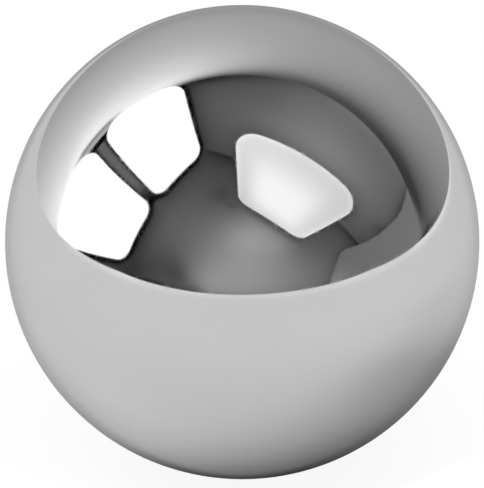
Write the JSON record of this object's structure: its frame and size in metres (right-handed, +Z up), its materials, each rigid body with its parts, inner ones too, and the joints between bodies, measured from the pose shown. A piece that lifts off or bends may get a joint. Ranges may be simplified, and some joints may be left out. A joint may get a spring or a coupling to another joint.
{
  "type": "steel ball",
  "caption": "Solid polished steel ball, a true sphere with a mirror finish, for bearings, valves, detents and gauging.",
  "frame": {"origin": "centre of the ball", "axes": "+Z up; a sphere is alike along every axis, so +X and +Y are free choices"},
  "size_m": [0.0254, 0.0254, 0.0254],
  "materials": {
    "polished_steel": "polished"
  },
  "bodies": {
    "root": {"ball": "polished_steel"}
  },
  "joints": []
}
